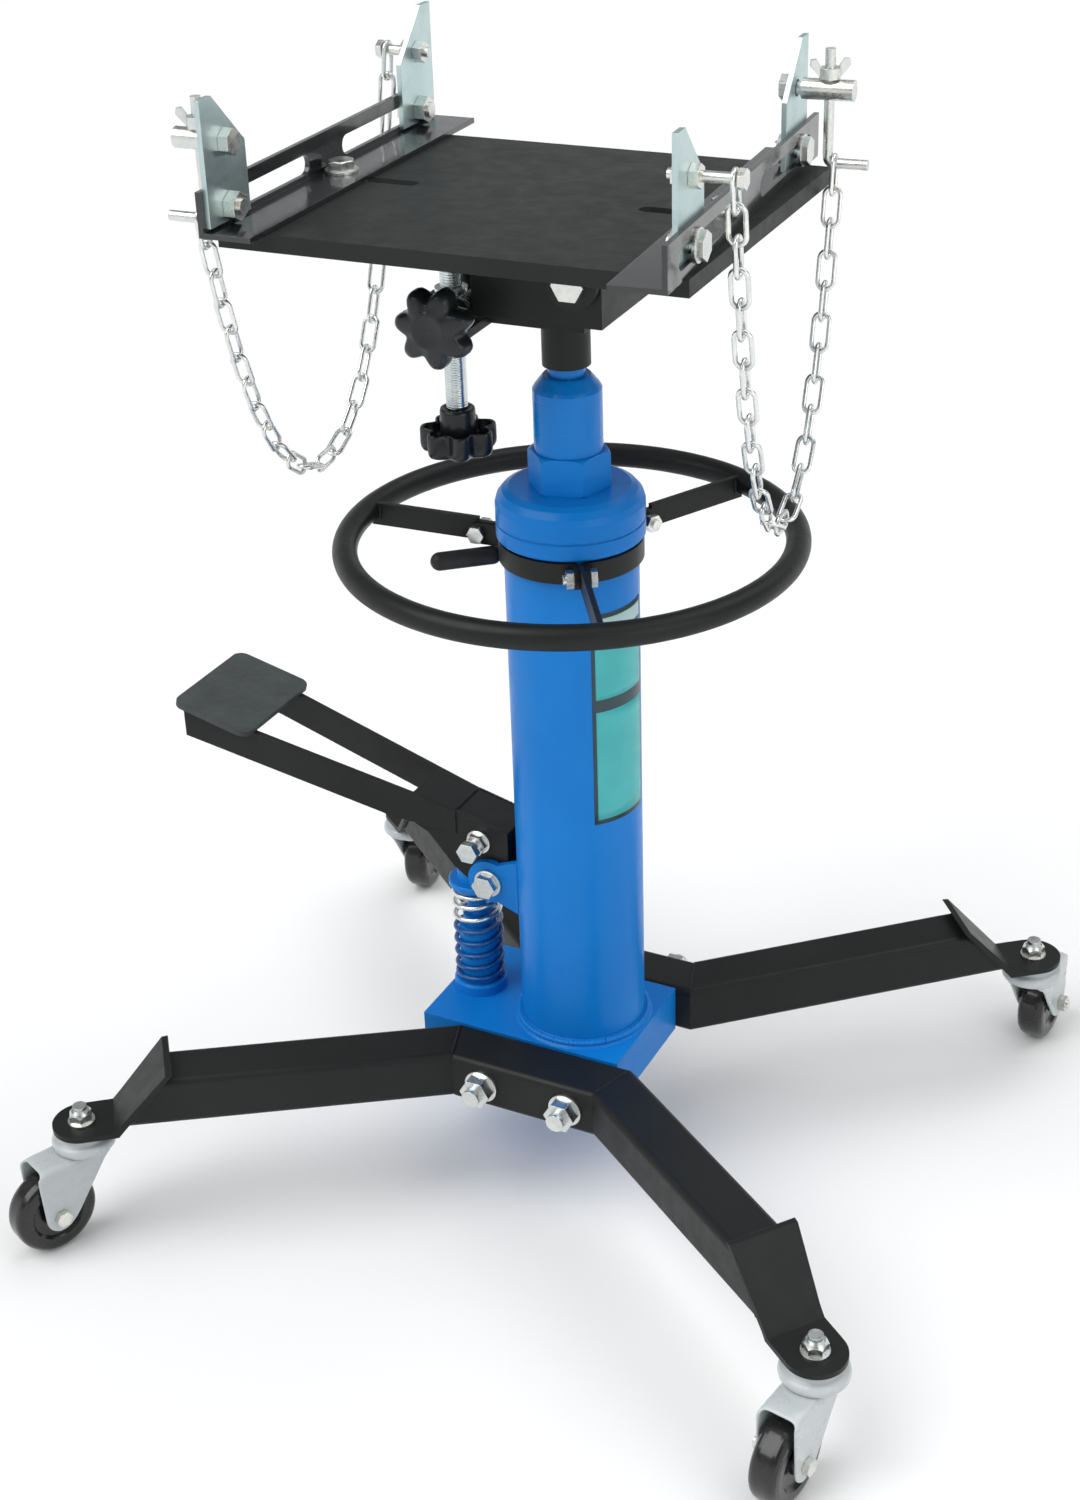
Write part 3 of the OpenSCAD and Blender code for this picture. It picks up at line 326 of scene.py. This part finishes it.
WELD_PITCH = 0.0034
RINGS_PER_PUDDLE = 4
WELD_SIDES = 8


def weld(name, route, radius, body, material, closed=False):
    """A weld bead along a route of points: a flat tube whose radius ripples with each puddle."""
    route = [Vector(p) for p in route]
    if closed:
        route.append(route[0].copy())
    lengths = [0.0]
    for a, b in zip(route, route[1:]):
        lengths.append(lengths[-1] + (b - a).length)
    total = lengths[-1]
    count = max(8, int(total / (WELD_PITCH / RINGS_PER_PUDDLE)))
    points = []
    k = 0
    rings = count if closed else count + 1
    for step in range(rings):
        s = total * step / count
        while k < len(lengths) - 2 and lengths[k + 1] < s:
            k += 1
        a, b = route[k], route[k + 1]
        along = (b - a).normalized()
        centre = a + along * (s - lengths[k])
        side = along.orthogonal().normalized()
        up = along.cross(side)
        ripple = radius * (0.86 + 0.2 * abs(math.sin(math.pi * s / WELD_PITCH)))
        ripple *= 1 + 0.06 * math.sin(4.81 * s / WELD_PITCH)
        if not closed:
            ripple *= min(1.0, 0.35 + 0.25 * min(step, count - step))
        for i in range(WELD_SIDES):
            turn = math.tau * i / WELD_SIDES
            points.append(centre + (side * math.cos(turn) + up * math.sin(turn)) * ripple)
    add_piece(name, points, tube_faces(rings, WELD_SIDES, closed), material, body)


def circle_route(centre, radius, z, steps):
    """Points once round a level circle."""
    return [
        Vector((centre.x + radius * math.cos(math.tau * k / steps),
                centre.y + radius * math.sin(math.tau * k / steps), z))
        for k in range(steps)
    ]


# Column: label and weld beads ---------------------------------------------------------------------

FOIL_GAP = 0.00006


def curved_panel(name, material, angles, heights, lift):
    """A thin foil wrapped on the outer cylinder between two angles and two heights."""
    across, up = 28, 10
    points = []
    for layer in (0.0, lift):
        radius = TUBE_RADIUS + FOIL_GAP + layer
        for j in range(up + 1):
            z = heights[0] + (heights[1] - heights[0]) * j / up
            for i in range(across + 1):
                turn = math.radians(angles[0] + (angles[1] - angles[0]) * i / across)
                points.append((COLUMN.x + radius * math.cos(turn), COLUMN.y + radius * math.sin(turn), z))
    row = across + 1
    layer_size = row * (up + 1)
    faces = []
    for j in range(up):
        for i in range(across):
            a = j * row + i
            faces.append((a, a + row, a + row + 1, a + 1))
            b = a + layer_size
            faces.append((b, b + 1, b + row + 1, b + row))
    rim = list(range(row))
    rim += [j * row + across for j in range(1, up + 1)]
    rim += [up * row + i for i in range(across - 1, -1, -1)]
    rim += [j * row for j in range(up - 1, 0, -1)]
    for a, b in zip(rim, rim[1:] + rim[:1]):
        faces.append((a, b, b + layer_size, a + layer_size))
    add_piece(name, points, faces, material, "chassis")


LABEL_ANGLES = (-49.5, 13.0)
LABEL_HEIGHTS = (0.358, 0.547)
BORDER_ANGLE = 3.4
curved_panel("label_border", LABEL_EDGE, LABEL_ANGLES, LABEL_HEIGHTS, 0.00018)
panel_angles = (LABEL_ANGLES[0] + BORDER_ANGLE, LABEL_ANGLES[1] - BORDER_ANGLE)
for name, material, heights in (("label_lower_panel", LABEL_TEAL, (0.362, 0.461)),
                                ("label_upper_panel", LABEL_TEAL, (0.472, 0.528)),
                                ("label_top_band", LABEL_PALE, (0.531, 0.543))):
    curved_panel(name, material, panel_angles, heights, 0.0003)

weld("column_foot_weld", circle_route(COLUMN, TUBE_RADIUS + 0.0026, TUBE_FOOT + 0.0035, 120), 0.0028,
     "chassis", BLUE, closed=True)


# Pump spring --------------------------------------------------------------------------------------

SPRING_TURNS = 8.5
SPRING_WIRE = 0.0022
SPRING_RADIUS = 0.020
SPRING_STEPS_PER_TURN = 36


def pump_coil():
    """Compression spring with a closed turn at each end, carried by the pump."""
    centre = (SPRING_LOW + SPRING_HIGH) / 2
    low, high = SPRING_LOW.z + SPRING_WIRE, SPRING_HIGH.z - SPRING_WIRE
    closed = 2.1 * SPRING_WIRE
    steps, sides = int(SPRING_TURNS * SPRING_STEPS_PER_TURN), 12
    points = []
    for k in range(steps + 1):
        turned = SPRING_TURNS * k / steps
        if turned < 1:
            z = low + closed * turned
        elif turned > SPRING_TURNS - 1:
            z = high - closed * (SPRING_TURNS - turned)
        else:
            z = low + closed + (high - low - 2 * closed) * (turned - 1) / (SPRING_TURNS - 2)
        angle = math.tau * turned
        for i in range(sides):
            around = math.tau * i / sides
            r = SPRING_RADIUS + SPRING_WIRE * math.cos(around)
            points.append((centre.x + r * math.cos(angle), centre.y + r * math.sin(angle),
                           z + SPRING_WIRE * math.sin(around)))
    piece = add_piece("pump_coil", points, tube_faces(steps + 1, sides, False), SPRING, "pump")
    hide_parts("pump_spring")
    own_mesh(piece)


pump_coil()


# Welds on the lugs, ring, pedal and legs ----------------------------------------------------------

PIVOT_Z = middle("pedal_pin").z
LUG_HALF = 0.0245

for name, side in (("front", -1), ("rear", 1)):
    for edge, y in (("outer", 0.0283), ("inner", 0.0217)):
        wall_x = COLUMN.x - math.sqrt(TUBE_RADIUS ** 2 - y * y) - 0.0006
        ends = [(wall_x, side * y, PIVOT_Z - LUG_HALF), (wall_x, side * y, PIVOT_Z + LUG_HALF)]
        weld(f"{name}_lug_{edge}_weld", ends, 0.0017, "chassis", BLUE)

# Seam across the pedal channel where the arms join it, and along its closed end
seam_x = CHASSIS.x - 0.100
weld("pedal_cross_weld", [(seam_x, -0.0195, 0.3288), (seam_x, 0.0195, 0.3288)], 0.0016, "pedal", BLACK)
for name, side in (("front", -1), ("rear", 1)):
    weld(f"pedal_{name}_weld",
         [(seam_x, side * 0.0207, 0.3283), (CHASSIS.x - 0.054, side * 0.0207, 0.3168)],
         0.0013, "pedal", BLACK)

RING_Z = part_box("hand_ring")[1].z - 0.010
RING_RADIUS = 0.1784
RING_TUBE = 0.0106
SPOKES = (-57, 63, 183)
for index, angle in enumerate(SPOKES):
    turn = math.radians(angle)
    out = Vector((math.cos(turn), math.sin(turn), 0))
    across = Vector((-math.sin(turn), math.cos(turn), 0))
    base = Vector((COLUMN.x, COLUMN.y, 0)) + out * (RING_RADIUS - RING_TUBE)
    for name, offset in (("a", -0.0025), ("b", 0.0025)):
        top = base + across * offset
        ends = [top + Vector((0, 0, RING_Z - 0.007)), top + Vector((0, 0, RING_Z + 0.005))]
        weld(f"spoke_{index}_weld_{name}", ends, 0.0014, "chassis", BLACK)

LEG_ANGLE = math.radians(37.77)
MITRE_INNER = Vector((0.0825, 0.0618, 0))
LEG_WIDTH = 0.0477
LEG_LENGTH = 0.253
LEG_RISE = math.tan(math.radians(3.39))
PLATE_TOP = 0.164
PLATE_SLANT = 50.3 / 59.2      # how far the end plate runs out for each metre that it drops


def leg_point(sx, sy, u, v, z):
    """A point in a leg's own axes, put on the leg of that corner."""
    along = Vector((math.cos(LEG_ANGLE), math.sin(LEG_ANGLE), 0))
    across = Vector((-math.sin(LEG_ANGLE), math.cos(LEG_ANGLE), 0))
    place = MITRE_INNER + along * u + across * v
    return Vector((CHASSIS.x + sx * place.x, sy * place.y, z))


for corner, (sx, sy) in zip(CORNERS, CORNER_SIGNS):
    top = TUBE_FOOT + LEG_LENGTH * LEG_RISE
    route = [leg_point(sx, sy, LEG_LENGTH + (PLATE_TOP - z) * PLATE_SLANT - 0.0008, v, z)
             for v, z in ((-0.0006, 0.117), (-0.0006, top - 0.004), (0.004, top + 0.0006),
                          (LEG_WIDTH - 0.004, top + 0.0006), (LEG_WIDTH + 0.0006, top - 0.004),
                          (LEG_WIDTH + 0.0006, 0.117))]
    weld(f"{corner}_plate_weld", route, 0.0017, "chassis", BLACK)
    start = leg_point(sx, sy, 0.0012, 0.004, TUBE_FOOT + 0.0002)
    end = leg_point(sx, sy, 0.0152, LEG_WIDTH - 0.004, TUBE_FOOT + 0.0006)
    weld(f"{corner}_mitre_weld", [start, end], 0.0011, "chassis", BLACK)


# Star knobs ---------------------------------------------------------------------------------------

KNOB_LOBES = 7
KNOB_RADIUS = 0.031
KNOB_STEPS = 126
LOBE_DEPTH = 0.26


def lobed(turn, depth):
    """Radius factor of a star knob: full on the lobes, less by depth in the hollows."""
    wave = 0.5 - 0.5 * math.cos(KNOB_LOBES * turn)
    return 1 - depth * wave ** 1.3


def knob(name, node, body, centre, axis, profile):
    """A star knob turned from a profile of (radius factor, height, how lobed) along its axis."""
    axis = Vector(axis).normalized()
    side = axis.orthogonal().normalized()
    up = axis.cross(side)
    points = []
    for radius, height, how in profile:
        for i in range(KNOB_STEPS):
            turn = math.tau * i / KNOB_STEPS
            r = KNOB_RADIUS * radius * lobed(turn, LOBE_DEPTH * how)
            points.append(centre + (side * math.cos(turn) + up * math.sin(turn)) * r + axis * height)
    faces = tube_faces(len(profile), KNOB_STEPS, False)
    piece = add_piece(name, points, faces, KNOB_BLACK, body)
    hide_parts(node)


SADDLE = Matrix.Translation((COLUMN.x, 0, 0)) @ Matrix.Rotation(math.radians(2), 4, "Z")
FORE_AXIS = SADDLE.to_3x3() @ Vector((0, -1, 0))
FORE_X = -0.060
FORE_Z = 0.787
SIDE_X = -0.095
SIDE_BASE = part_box("side_knob")[0].z

# Profiles of the two knobs, as (radius factor, height, how lobed)
DOME = (
    (0.27, 0.0, 0), (0.46, 0.0, 0), (0.48, 0.001, 0), (0.48, 0.009, 0.2), (0.80, 0.0095, 0.8),
    (0.93, 0.0105, 1), (0.98, 0.0125, 1), (0.995, 0.015, 1), (0.995, 0.020, 1), (0.985, 0.0235, 1),
    (0.95, 0.0262, 1), (0.88, 0.0282, 1), (0.78, 0.0292, 0.9), (0.62, 0.0300, 0.6),
    (0.48, 0.0312, 0.2), (0.42, 0.0318, 0), (0.36, 0.0319, 0), (0.30, 0.0310, 0), (0.05, 0.0308, 0),
)
RIM = (
    (0.05, 0.0012, 0), (0.38, 0.0004, 0), (0.55, 0.0006, 0.3), (0.80, 0.0022, 0.8), (0.93, 0.0038, 1),
    (0.985, 0.0065, 1), (0.998, 0.0100, 1), (0.995, 0.0200, 1), (0.985, 0.0222, 1), (0.955, 0.0232, 1),
    (0.915, 0.0228, 1), (0.895, 0.0215, 1), (0.885, 0.0140, 1), (0.80, 0.0130, 0.9), (0.50, 0.0130, 0.1),
    (0.475, 0.0136, 0), (0.462, 0.0200, 0), (0.455, 0.0360, 0), (0.440, 0.0384, 0), (0.400, 0.0390, 0),
    (0.340, 0.0386, 0), (0.325, 0.0372, 0), (0.262, 0.0368, 0),
)
knob("fore_aft_star_knob", "fore_aft_knob", "fore_aft_screw", SADDLE @ Vector((FORE_X, -0.077, FORE_Z)),
     FORE_AXIS, DOME)
knob("side_star_knob", "side_knob", "side_screw", SADDLE @ Vector((SIDE_X, 0, SIDE_BASE)),
     (0, 0, 1), RIM)


# Threads ------------------------------------------------------------------------------------------

SCREW_RADIUS = 0.008
THREAD_PITCH = 0.002
THREAD_DEPTH = 0.0008
ROWS_PER_PITCH = 4
THREAD_SIDES = 20


def thread(name, base, axis, length, body):
    """A threaded sleeve: a helical ridge wound on a tilt screw from base along axis."""
    axis = Vector(axis).normalized()
    side = axis.orthogonal().normalized()
    up = axis.cross(side)
    rows = int(length / THREAD_PITCH * ROWS_PER_PITCH)
    points = []
    for j in range(rows + 1):
        for i in range(THREAD_SIDES):
            turn = math.tau * i / THREAD_SIDES
            phase = (j / ROWS_PER_PITCH + i / THREAD_SIDES) % 1
            crest = 1 - abs(2 * phase - 1)
            r = SCREW_RADIUS + 0.00003 + THREAD_DEPTH * crest
            z = length * j / rows
            points.append(base + (side * math.cos(turn) + up * math.sin(turn)) * r + axis * z)
    add_piece(name, points, tube_faces(rows + 1, THREAD_SIDES, False), SCREW_ZINC, body)


for name, low, high in (("lower", 0.6885, 0.7620), ("upper", 0.7860, 0.8110)):
    thread(f"side_screw_{name}_thread", SADDLE @ Vector((SIDE_X, 0, low)), (0, 0, 1), high - low,
           "side_screw")
# The sleeves stop short of the nut between them
for name, near, far in (("front", -0.0555, -0.0150), ("rear", 0.0150, 0.0415)):
    thread(f"fore_aft_screw_{name}_thread", SADDLE @ Vector((FORE_X, far, FORE_Z)), FORE_AXIS,
           far - near, "fore_aft_screw")


# Caster forks -------------------------------------------------------------------------------------

CASTER_X = 0.3316
CASTER_Y = 0.2850
CASTER_TURNS = (246, -100, 100, 86)
AXLE = Vector((0.039, 0, 0.0375))


def caster_place(index):
    sx, sy = CORNER_SIGNS[index]
    place = Matrix.Translation((CHASSIS.x + sx * CASTER_X, sy * CASTER_Y, 0))
    return place @ Matrix.Rotation(math.radians(CASTER_TURNS[index]), 4, "Z")


def between(value, table):
    """Value read from a table of (key, value) pairs with falling keys."""
    for (k0, v0), (k1, v1) in zip(table, table[1:]):
        if value >= k1:
            return v0 + (v1 - v0) * (k0 - value) / (k0 - k1)
    return table[-1][1]


# The pressed fork in millimetres: its front and rear edge by height, and its section over the hood
FORK_FRONT = ((88, -19.5), (84, -17.0), (80, -12.5), (77, -9.0), (38, 18.9), (36.5, 20.2), (33, 22.6),
              (29.5, 26.2), (26.5, 30.2), (24.4, 34.4), (23.6, 38.6))
FORK_REAR = ((88, 50.5), (86, 53.0), (83, 54.6), (78, 55.0), (38, 53.0))
FORK_TOP = ((0, 88.0), (5, 88.0), (9, 88.0), (12, 87.8), (14.2, 87.1), (15.9, 85.8), (17.0, 83.8),
            (17.4, 81.2))
CHEEK_ROWS = (78, 74, 69, 64, 58, 52, 46, 41, 37.5, 34, 31, 28.5, 26.6, 25.2, 24.2, 23.7)
CHEEK_Y = 17.5
BOSS = 14.0
BOSS_TOP = 38
AXLE_HEIGHT = 37.5
HOOD_SLOPE_FROM = 44
STEEL = 0.0026
STEM_BORE = 0.0085
AXLE_BORE = 0.0030
# Section of the raceway in millimetres, as (radius, height)
RACEWAY = (
    (6.2, 88.3), (24.5, 88.3), (26.4, 88.6), (27.1, 89.5), (27.5, 91.2), (27.5, 92.6), (27.2, 94.3),
    (26.6, 95.5), (25.2, 96.6), (23.2, 97.4), (22.1, 98.0), (21.5, 98.8), (21.2, 100.4), (21.0, 102.0),
    (20.7, 103.1), (20.1, 103.9), (19.3, 104.35), (6.2, 104.35),
)


def fork_row(z):
    """Front and rear edge of the pressed fork at one height, in millimetres."""
    if z >= BOSS_TOP:
        return between(z, FORK_FRONT), between(z, FORK_REAR)
    half = math.sqrt(max(0.3, BOSS ** 2 - (z - AXLE_HEIGHT) ** 2))
    return between(z, FORK_FRONT), AXLE.x * 1000 + half


def fork(index, corner):
    """Pressed steel fork: a hood that runs down into the two cheeks, and the raceway on top of it."""
    place = caster_place(index)
    half_rows = list(FORK_TOP) + [(CHEEK_Y, z) for z in CHEEK_ROWS]
    rows = [(-y, z) for y, z in reversed(half_rows[1:])] + half_rows
    across = 16
    points = []
    for y, z in rows:
        front, rear = fork_row(z)
        for i in range(across + 1):
            x = front + (rear - front) * i / across
            drop = 2.2 * max(0.0, (x - HOOD_SLOPE_FROM) / 10) ** 2 if z > 84 else 0.0
            points.append(place @ (Vector((x, y, z - drop)) / 1000))
    faces = []
    for j in range(len(rows) - 1):
        for i in range(across):
            a = j * (across + 1) + i
            spot = place.inverted() @ ((points[a] + points[a + across + 2]) / 2)
            bored = math.hypot(spot.x, spot.y) < STEM_BORE and spot.z > 0.08
            on_axle = math.hypot(spot.x - AXLE.x, spot.z - AXLE.z) < AXLE_BORE
            if not bored and not on_axle:
                faces.append((a, a + across + 1, a + across + 2, a + 1))
    shell = add_piece(f"{corner}_fork_shell", points, faces, FORK_GREY, f"{corner}_caster")
    skin = shell.modifiers.new("thickness", "SOLIDIFY")
    skin.thickness = STEEL
    skin.offset = 1.0
    skin.use_even_offset = True
    smooth = shell.modifiers.new("round", "SUBSURF")
    smooth.levels = 1
    smooth.render_levels = 1
    steps = 72
    turns = [math.tau * i / steps for i in range(steps)]
    points = [place @ (Vector((r * math.cos(turn), r * math.sin(turn), z)) / 1000)
              for r, z in RACEWAY for turn in turns]
    add_piece(f"{corner}_raceway", points, tube_faces(len(RACEWAY), steps, True), FORK_GREY,
              f"{corner}_caster")
    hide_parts(f"{corner}_fork")


for index, corner in enumerate(CORNERS):
    fork(index, corner)


# Camera, lights and floor -------------------------------------------------------------------------

CAMERA_PLACE = Vector((0.75698 + CHASSIS.x, -1.50713, 1.32831))
HEADING = math.radians(27.495)
PITCH = math.radians(28.8505)
ROLL = math.radians(-2.033)


def add_camera():
    forward = Vector((-math.sin(HEADING) * math.cos(PITCH), math.cos(HEADING) * math.cos(PITCH),
                      -math.sin(PITCH)))
    level = Vector((math.cos(HEADING), math.sin(HEADING), 0))
    above = level.cross(forward)
    right = level * math.cos(ROLL) + above * math.sin(ROLL)
    up = above * math.cos(ROLL) - level * math.sin(ROLL)
    data = bpy.data.cameras.new("camera")
    data.lens = 55.72
    data.sensor_width = 36
    data.clip_start = 0.01
    camera = bpy.data.objects.new("camera", data)
    turn = Matrix((right, up, -forward)).transposed().to_4x4()
    camera.matrix_world = Matrix.Translation(CAMERA_PLACE) @ turn
    bpy.context.scene.collection.objects.link(camera)
    bpy.context.scene.camera = camera


def area_light(name, place, target, size, power):
    data = bpy.data.lights.new(name, "AREA")
    data.shape = "RECTANGLE"
    data.size, data.size_y = size
    data.energy = power
    light = bpy.data.objects.new(name, data)
    aim = (Vector(target) - Vector(place)).to_track_quat("-Z", "Y")
    light.matrix_world = Matrix.Translation(Vector(place)) @ aim.to_matrix().to_4x4()
    bpy.context.scene.collection.objects.link(light)


def sun(name, place, power, softness):
    """A very soft sun that shines from a place toward the origin."""
    data = bpy.data.lights.new(name, "SUN")
    data.energy = power
    data.angle = math.radians(softness)
    light = bpy.data.objects.new(name, data)
    light.matrix_world = Vector(place).to_track_quat("Z", "Y").to_matrix().to_4x4()
    bpy.context.scene.collection.objects.link(light)


def add_studio():
    scene = bpy.context.scene
    scene.view_settings.view_transform = "Standard"
    world = bpy.data.worlds.new("studio")
    world.use_nodes = True
    tree = world.node_tree
    background = tree.nodes["Background"]
    background.inputs["Color"].default_value = (0.97, 0.985, 1.0, 1)
    where = tree.nodes.new("ShaderNodeTexCoord")
    split = tree.nodes.new("ShaderNodeSeparateXYZ")
    fall = tree.nodes.new("ShaderNodeMapRange")
    # White to a little above the horizon, and dimmer overhead
    for key, number in zip(("From Min", "From Max", "To Min", "To Max"), (0.14, 0.30, 1.0, 0.28)):
        fall.inputs[key].default_value = number
    tree.links.new(where.outputs["Generated"], split.inputs["Vector"])
    tree.links.new(split.outputs["Z"], fall.inputs["Value"])
    tree.links.new(fall.outputs["Result"], background.inputs["Strength"])
    scene.world = world
    sun("key", (-1.0, -1.1, 1.9), 2.0, 50)
    sun("top", (0.3, 0.4, 1.0), 1.2, 60)
    area_light("fill", (2.2, -0.9, 1.6), (0, 0, 0.5), (1.6, 1.6), 14)
    mesh = bpy.data.meshes.new("floor")
    far = 14.0
    corners = [(-far, -far, 0), (far, -far, 0), (far, far, 0), (-far, far, 0)]
    mesh.from_pydata(corners, [], [(0, 1, 2, 3)])
    floor = bpy.data.objects.new("floor", mesh)
    s = Shader("floor", 0.8, specular=0.1)
    s.colour(s.ramp(s.noise(2, 2), [(0.3, (0.88, 0.88, 0.88)), (0.7, (0.90, 0.90, 0.90))]))
    mesh.materials.append(s.material)
    scene.collection.objects.link(floor)


add_camera()
add_studio()
